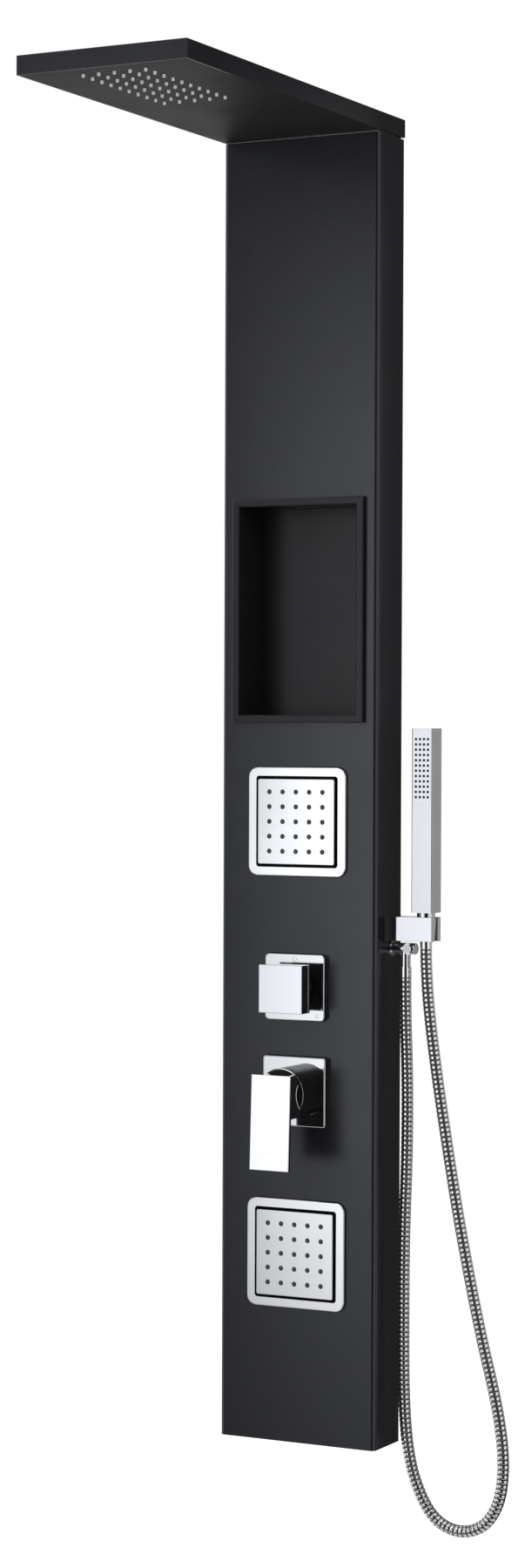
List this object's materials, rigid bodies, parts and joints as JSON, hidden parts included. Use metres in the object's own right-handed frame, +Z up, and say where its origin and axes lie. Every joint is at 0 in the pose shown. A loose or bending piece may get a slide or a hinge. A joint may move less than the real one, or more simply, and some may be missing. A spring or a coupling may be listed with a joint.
{
  "type": "shower panel column",
  "caption": "Wall-hung shower panel: black column with overhead head, recessed niche, swivelling body jets, diverter, lever mixer and a hand shower on a ribbed hose.",
  "frame": {"origin": "centre of the upper wall bracket's two screw holes, on the wall plane", "axes": "+X to the right of a person facing the panel, +Y into the wall, +Z up; the front faces -Y"},
  "size_m": [0.351, 0.5175, 1.6193],
  "materials": {
    "column_finish": "satin black anodised aluminium",
    "trim_finish": "dark anodised strip with bright edges",
    "bracket_steel": "zinc plated sheet and screws",
    "chrome": "polished chrome plate",
    "satin_chrome": "satin plated face",
    "hose_chrome": "bright ribbed metal hose",
    "nozzle_silicone": "soft pale grey silicone",
    "black_plastic": "moulded black plastic",
    "white_plastic": "moulded acetal",
    "brass": "cast and turned brass",
    "hose_rubber": "smooth reinforced rubber hose"
  },
  "bodies": {
    "root": {"bottom_cap": "black_plastic", "cold_supply_hose": "hose_rubber", "column_shell": "column_finish", "diverter_body": "brass", "diverter_cartridge": "white_plastic", "diverter_plate": "chrome", "handset_feed_pipe": "brass", "hanger_bars": "bracket_steel", "head_bolts": "bracket_steel", "head_bracket": "bracket_steel", "head_feed_pipe": "brass", "head_hose": "hose_rubber", "head_nozzles": "nozzle_silicone", "head_shell": "column_finish", "head_soffit": "column_finish", "head_water_box": "black_plastic", "holder_base_plate": "black_plastic", "holder_block": "chrome", "holder_screws": "bracket_steel", "hose_ferrule": "chrome", "hot_supply_hose": "hose_rubber", "link_hose": "hose_rubber", "lower_jet_frame": "chrome", "lower_jet_hose": "hose_rubber", "lower_jet_housing": "black_plastic", "mixer_body": "brass", "mixer_cartridge": "white_plastic", "mixer_plate": "chrome", "mixer_sleeve": "black_plastic", "niche_trim": "trim_finish", "niche_tub": "column_finish", "outlet_elbow": "chrome", "outlet_locknut": "brass", "outlet_plug": "chrome", "shower_hose": "hose_chrome", "supply_nuts": "brass", "upper_jet_frame": "chrome", "upper_jet_hose": "hose_rubber", "upper_jet_housing": "black_plastic", "valve_nuts": "brass", "wall_brackets": "bracket_steel"},
    "upper_jet_ring": {"upper_jet_seal": "white_plastic"},
    "upper_jet_head": {"upper_jet_face": "satin_chrome", "upper_jet_nozzles": "nozzle_silicone", "upper_jet_back": "black_plastic"},
    "lower_jet_ring": {"lower_jet_seal": "white_plastic"},
    "lower_jet_head": {"lower_jet_face": "satin_chrome", "lower_jet_nozzles": "nozzle_silicone", "lower_jet_back": "black_plastic"},
    "diverter_control": {"diverter_knob": "chrome", "diverter_spindle": "brass", "diverter_knob_screw": "bracket_steel"},
    "mixer_turntable": {"mixer_guide": "white_plastic"},
    "mixer_handle": {"mixer_lever": "chrome", "mixer_stem": "bracket_steel", "mixer_lever_screw": "bracket_steel"},
    "hose_end": {"hose_cone_nut": "chrome"},
    "hand_shower": {"handset_body": "chrome", "handset_face": "satin_chrome", "handset_nozzles": "nozzle_silicone"}
  },
  "joints": [
    {"name": "upper_jet_tilt", "type": "hinge", "parent": "root", "child": "upper_jet_ring", "pos_m": [0, -0.05, -0.6338], "axis": [1, 0, 0], "range_deg": [-8, 8]},
    {"name": "upper_jet_swing", "type": "hinge", "parent": "upper_jet_ring", "child": "upper_jet_head", "pos_m": [0, -0.05, -0.6338], "axis": [0, 0, 1], "range_deg": [-8, 8]},
    {"name": "lower_jet_tilt", "type": "hinge", "parent": "root", "child": "lower_jet_ring", "pos_m": [0, -0.05, -1.1316], "axis": [1, 0, 0], "range_deg": [-8, 8]},
    {"name": "lower_jet_swing", "type": "hinge", "parent": "lower_jet_ring", "child": "lower_jet_head", "pos_m": [0, -0.05, -1.1316], "axis": [0, 0, 1], "range_deg": [-8, 8]},
    {"name": "diverter_turn", "type": "hinge", "parent": "root", "child": "diverter_control", "pos_m": [0, -0.095, -0.8238], "axis": [0, 1, 0], "continuous": true},
    {"name": "mixer_turn", "type": "hinge", "parent": "root", "child": "mixer_turntable", "pos_m": [0, -0.089, -0.9437], "axis": [0, 1, 0], "range_deg": [-45, 45]},
    {"name": "mixer_lift", "type": "hinge", "parent": "mixer_turntable", "child": "mixer_handle", "pos_m": [0, -0.089, -0.9437], "axis": [-1, 0, 0], "range_deg": [0, 16]},
    {"name": "hand_shower_lift", "type": "slide", "parent": "root", "child": "hose_end", "axis": [0, 0, 1], "range_m": [0, 0.035]},
    {"name": "hand_shower_turn", "type": "hinge", "parent": "hose_end", "child": "hand_shower", "pos_m": [0.1431, -0.0235, -0.73], "axis": [0, 0, 1], "continuous": true}
  ]
}
